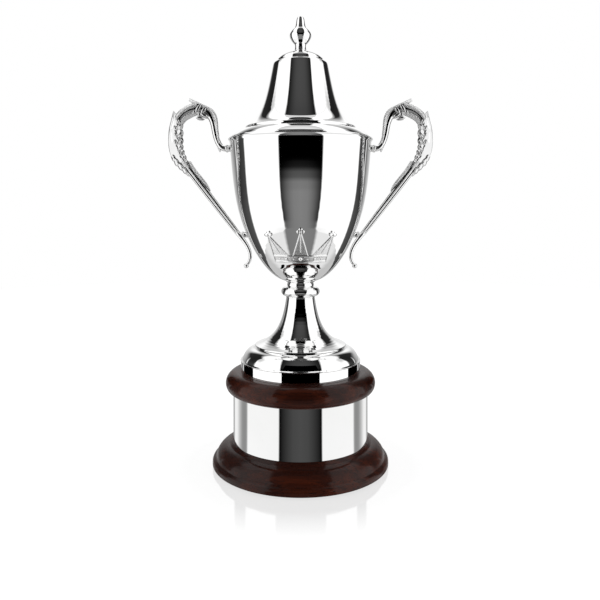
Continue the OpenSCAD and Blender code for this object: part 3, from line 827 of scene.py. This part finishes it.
def studio_cards():
    """What the band mirrors on the table, and three small black flags about the foot."""
    look, tree = bare_material("table_card")
    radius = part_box("plinth_band")[1].x
    x, y, _ = node(tree, "ShaderNodeSeparateXYZ",
                   {"Vector": node(tree, "ShaderNodeTexCoord").outputs["Object"]}).outputs
    angle = maths(tree, "ABSOLUTE", maths(tree, "ARCTAN2", x, maths(tree, "MULTIPLY", y, -1.0)))
    away = maths(tree, "DIVIDE", radius, maths(tree, "SQRT", maths(
        tree, "ADD", maths(tree, "MULTIPLY", x, x), maths(tree, "MULTIPLY", y, y))))
    turn = angle
    for _ in range(3):
        lean = maths(tree, "SINE", maths(tree, "MULTIPLY", turn, 0.5))
        turn = maths(tree, "ADD", angle, maths(tree, "ARCSINE", maths(tree, "MULTIPLY", away, lean)))
    facing = node(tree, "ShaderNodeLayerWeight", {"Blend": 0.5}).outputs["Facing"]
    seen = blended(tree, ramp(tree, facing, [(0.45, 0.0), (0.56, 1.0)]),
                   by_angle(tree, angle, UNDER), by_angle(tree, turn, TABLE))
    glow = node(tree, "ShaderNodeEmission", {"Color": seen, "Strength": POWER})
    tree.links.new(glow.outputs[0], node(tree, "ShaderNodeOutputMaterial").inputs["Surface"])
    around = [TAU * k / 96 for k in range(96)]
    verts = [(r * math.cos(a), r * math.sin(a), -0.0005) for r in (0.09, 0.32) for a in around]
    faces = [(k, (k + 1) % 96, 96 + (k + 1) % 96, 96 + k) for k in range(96)]
    only_mirrored(stage_mesh("table_card", verts, faces, look))

    black, tree = bare_material("flag_black")
    matt = node(tree, "ShaderNodeBsdfDiffuse", {"Color": (0, 0, 0, 1)})
    tree.links.new(matt.outputs[0], node(tree, "ShaderNodeOutputMaterial").inputs["Surface"])
    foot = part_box("foot")
    reach = foot[1].x + 0.018
    for name, start, stop, tall in (("front", -21.6, 21.6, 0.045), ("right", 64, 91, 0.012),
                                    ("left", -91, -64, 0.012)):
        arc = [math.radians(start + (stop - start) * k / 24 - 90) for k in range(25)]
        verts = [(reach * math.cos(a), reach * math.sin(a), foot[0].z + h)
                 for h in (-0.007, tall) for a in arc]
        faces = [(k, k + 1, 26 + k, 25 + k) for k in range(24)]
        only_mirrored(stage_mesh("flag_" + name, verts, faces, black))


def studio_light():
    world = bpy.data.worlds.new("studio")
    bpy.context.scene.world = world
    world.use_nodes = True
    tree = world.node_tree
    tree.nodes.clear()
    way = node(tree, "ShaderNodeTexCoord").outputs["Generated"]
    x, y, z = node(tree, "ShaderNodeSeparateXYZ", {"Vector": way}).outputs
    rise = maths(tree, "ADD", maths(tree, "DIVIDE", maths(tree, "ARCSINE", z), math.pi), 0.5)

    def by_rise(*table):
        return ramp(tree, rise, [(a / 180 + 0.5, v) for a, v in table])

    # The gap at the front goes on overhead, and the slit leans out towards the floor
    tip = maths(tree, "DIVIDE", maths(tree, "ARCTAN2", z, maths(tree, "MULTIPLY", y, -1.0)), math.pi)
    front, beyond = (ramp(tree, tip, [(a / 180, v) for a, v in t]) for t in (OVERHEAD, BEYOND))
    front = maths(tree, "MAXIMUM", front, maths(tree, "MULTIPLY", beyond,
                                                by_rise((42, 0.0), (50, 1.0))))
    skew = maths(tree, "MULTIPLY", maths(tree, "POWER", x, 3.0), 0.08)
    turn = maths(tree, "ABSOLUTE", maths(tree, "ARCTAN2", x, maths(
        tree, "ADD", maths(tree, "SUBTRACT", front, y), skew)))
    lean = maths(tree, "MINIMUM", z, 0.0)
    far = maths(tree, "MAXIMUM", maths(tree, "SUBTRACT", turn, 1.6), 0.0)
    turn = maths(tree, "ADD", turn, maths(tree, "MULTIPLY", lean, far))

    gap = scaled(tree, by_rise(*GAP_RISE), by_angle(tree, turn, GAP_SIDE))
    walls = blended(tree, by_rise((8, 0.0), (20, 1.0)), by_angle(tree, turn, WALL),
                    by_angle(tree, turn, HIGH))
    top = added(tree, by_angle(tree, turn, TOP), ramp(tree, tip, [(100 / 180, 0.0), (103 / 180, 1.0)]))
    walls = blended(tree, by_rise((42, 0.0), (52, 1.0)), walls, top)
    dimmed = scaled(tree, walls, ramp(tree, tip, [(94 / 180, 1.0), (108 / 180, 0.55)]))
    walls = blended(tree, by_rise((24, 0.0), (34, 1.0)), walls, dimmed)
    whole = added(tree, walls, gap)
    whole = blended(tree, by_rise((-46, 1.0), (-33, 0.0)), whole, by_angle(tree, turn, UNDER))
    whole = blended(tree, by_rise((-62, 1.0), (-50, 0.0)), whole, (0.55, 0.55, 0.55, 1))
    lit = node(tree, "ShaderNodeBackground", {"Color": whole, "Strength": POWER})
    plain = node(tree, "ShaderNodeBackground", {"Color": (1, 1, 1, 1), "Strength": 1.0})
    seen = node(tree, "ShaderNodeLightPath").outputs["Is Camera Ray"]
    joined = node(tree, "ShaderNodeMixShader", {0: seen, 1: lit.outputs[0], 2: plain.outputs[0]})
    tree.links.new(joined.outputs[0], node(tree, "ShaderNodeOutputWorld").inputs["Surface"])


def camera():
    data = bpy.data.cameras.new("camera")
    data.lens = 38.71
    data.sensor_width = 36
    data.shift_y = -0.128
    made = bpy.data.objects.new("camera", data)
    bpy.context.scene.collection.objects.link(made)
    made.location = (-0.0005, -0.6447, 0.2514)
    made.rotation_euler = (math.radians(90 - 1.047), 0, 0)
    bpy.context.scene.camera = made


studio_floor()
studio_cards()
studio_light()
camera()
bpy.context.scene.view_settings.view_transform = "Standard"
bpy.context.scene.view_settings.look = "None"
